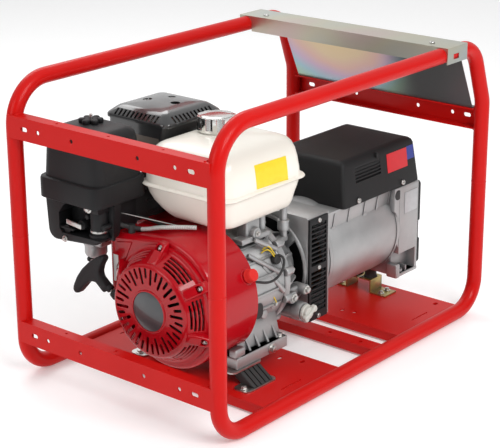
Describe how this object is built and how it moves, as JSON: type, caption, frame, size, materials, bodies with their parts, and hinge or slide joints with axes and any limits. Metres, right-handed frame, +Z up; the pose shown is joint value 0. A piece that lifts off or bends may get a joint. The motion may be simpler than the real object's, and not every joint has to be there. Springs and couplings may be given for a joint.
{
  "type": "portable generator",
  "caption": "Open-frame portable generator: a single-cylinder petrol engine drives a round alternator inside a red tube frame with end rails, base plates, a heat panel and a top cap.",
  "frame": {"origin": "on the floor, under the middle of the frame", "axes": "+X from the recoil starter end to the alternator end, +Y to the air cleaner and muffler side, +Z up"},
  "size_m": [0.896, 0.548, 0.629],
  "materials": {
    "frame_red": "semi-gloss powder coat",
    "engine_red": "gloss enamel",
    "zinc": "yellow-passivated zinc plate, satin",
    "cast_aluminium": "as-cast, satin",
    "alternator_grey": "cast, painted grey, satin",
    "tank_cream": "gloss enamel",
    "black_plastic": "fine-textured matte",
    "black_enamel": "gloss black enamel",
    "black_sheet": "satin black paint",
    "rubber_black": "matte",
    "bright_steel": "plated, satin",
    "machined_steel": "machined",
    "bright_chrome": "polished",
    "muffler_steel": "heat-tinted, dull",
    "copper_winding": "varnished",
    "laminations": "dull",
    "starter_cord": "braided",
    "filter_foam": "matte",
    "badge_grey": "gloss",
    "ceramic_white": "glazed"
  },
  "bodies": {
    "root": {"front_loop": "frame_red", "rear_loop": "frame_red", "upper_end_rail": "frame_red", "lower_end_rail": "frame_red", "far_end_rail": "frame_red", "engine_plate": "frame_red", "mid_channel": "frame_red", "alternator_plate": "frame_red", "top_cap": "zinc", "heat_panel": "zinc", "panel_screws": "bright_steel", "mount_plates": "black_sheet", "mount_rubbers": "rubber_black", "alternator_brackets": "zinc", "mount_bolts": "bright_steel", "crankcase": "cast_aluminium", "side_cover": "cast_aluminium", "connecting_rod": "machined_steel", "piston": "cast_aluminium", "cylinder_head": "cast_aluminium", "rocker_cover": "cast_aluminium", "spark_plug": "ceramic_white", "plug_cap": "rubber_black", "fan_shroud": "engine_red", "recoil_housing": "engine_red", "housing_badge": "badge_grey", "switch_lead": "rubber_black", "fuel_tank": "tank_cream", "air_cleaner_base": "black_plastic", "air_cleaner_cover": "black_plastic", "filter_element": "filter_foam", "carburettor": "cast_aluminium", "muffler": "muffler_steel", "muffler_guard": "black_enamel", "engine_bolts": "bright_steel", "control_cable": "rubber_black", "bell_housing": "alternator_grey", "bell_grilles": "black_plastic", "stator_frame": "alternator_grey", "stator_core": "laminations", "stator_windings": "copper_winding", "rear_bearing": "machined_steel", "end_casting": "alternator_grey", "end_cover": "black_plastic", "terminal_box": "black_sheet", "alternator_screws": "bright_steel"},
    "crank": {"crankshaft": "machined_steel", "flywheel": "laminations", "rotor": "laminations", "alternator_fan": "black_plastic"},
    "cam": {"camshaft": "machined_steel"},
    "reel": {"starter_reel": "black_plastic", "starter_rope": "starter_cord"},
    "handle": {"starter_handle": "black_plastic"},
    "fuel_cap": {"fuel_cap": "bright_chrome"},
    "air_knob": {"air_cleaner_knob": "black_plastic"},
    "oil_cap": {"oil_filler_cap": "black_plastic"},
    "switch": {"engine_switch": "frame_red"},
    "choke": {"choke_lever": "bright_steel"}
  },
  "joints": [
    {"name": "crank_spin", "type": "hinge", "parent": "root", "child": "crank", "pos_m": [0, -0.024, 0.19], "axis": [1, 0, 0], "continuous": true},
    {"name": "cam_spin", "type": "hinge", "parent": "root", "child": "cam", "pos_m": [0, -0.005, 0.13], "axis": [1, 0, 0], "continuous": true},
    {"name": "handle_pull", "type": "slide", "parent": "root", "child": "handle", "axis": [-0.2873, 0.9578, 0], "range_m": [0, 0.75], "stiffness_N_per_m": 10, "springref_m": -0.4},
    {"name": "reel_spin", "type": "hinge", "parent": "root", "child": "reel", "pos_m": [0, -0.024, 0.19], "axis": [1, 0, 0], "range_deg": [0, 670]},
    {"name": "fuel_cap_turn", "type": "hinge", "parent": "root", "child": "fuel_cap", "pos_m": [-0.112, 0.02, 0.485], "axis": [0, 0, 1], "range_deg": [0, 90]},
    {"name": "air_knob_turn", "type": "hinge", "parent": "root", "child": "air_knob", "pos_m": [-0.303, 0.178, 0.515], "axis": [0, 0, 1], "range_deg": [0, 360]},
    {"name": "oil_cap_turn", "type": "hinge", "parent": "root", "child": "oil_cap", "pos_m": [-0.045, -0.15, 0.12], "axis": [0, -1, 0], "range_deg": [0, 360]},
    {"name": "switch_turn", "type": "hinge", "parent": "root", "child": "switch", "pos_m": [-0.218, -0.14545, 0.24663], "axis": [0, -0.9063, 0.4226], "range_deg": [0, 60]},
    {"name": "choke_swing", "type": "hinge", "parent": "root", "child": "choke", "pos_m": [-0.374, 0.15, 0.326], "axis": [1, 0, 0], "range_deg": [0, 50]}
  ],
  "couplings": [
    {"joint": "cam_spin", "follows": "crank_spin", "ratio": -0.5},
    {"joint": "reel_spin", "follows": "handle_pull", "rad_per_m": 15.552}
  ]
}
